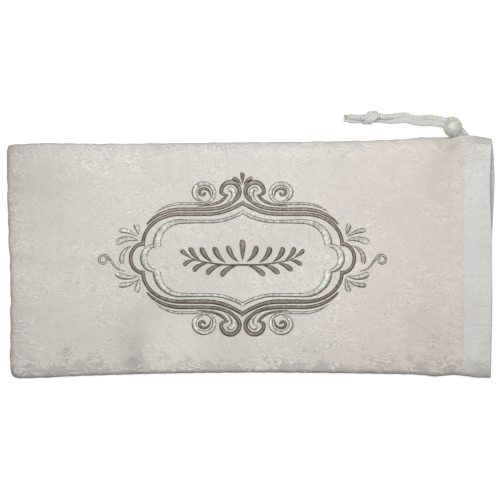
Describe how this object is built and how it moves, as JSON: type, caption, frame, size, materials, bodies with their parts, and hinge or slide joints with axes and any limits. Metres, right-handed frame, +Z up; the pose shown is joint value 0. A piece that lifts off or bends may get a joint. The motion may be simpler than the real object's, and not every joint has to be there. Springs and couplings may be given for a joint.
{
  "type": "drawstring shofar case",
  "caption": "Flat cloth case for a shofar, sewn shut round a closed end, with a stitched drawstring casing at its open mouth and a doubled cord through a bead to an overhand knot.",
  "frame": {"origin": "on the surface that the case lies on, under the middle of its two panels", "axes": "+X along the case towards its open mouth, +Y across it towards the side where the cord leaves, +Z up from the surface through the front panel"},
  "size_m": [0.4032, 0.2211, 0.016],
  "materials": {
    "jacquard_cloth": "ivory figured weave with a soft sheen",
    "dark_thread": "taupe satin stitch",
    "silver_thread": "silver grey satin stitch",
    "cord": "white braid",
    "pearl_bead": "ivory pearl"
  },
  "bodies": {
    "root": {"front_panel": "jacquard_cloth", "back_panel": "jacquard_cloth", "cord_strand_upper": "cord", "cord_strand_lower": "cord", "cord_knot": "cord", "stopper_bead": "pearl_bead"}
  },
  "joints": []
}
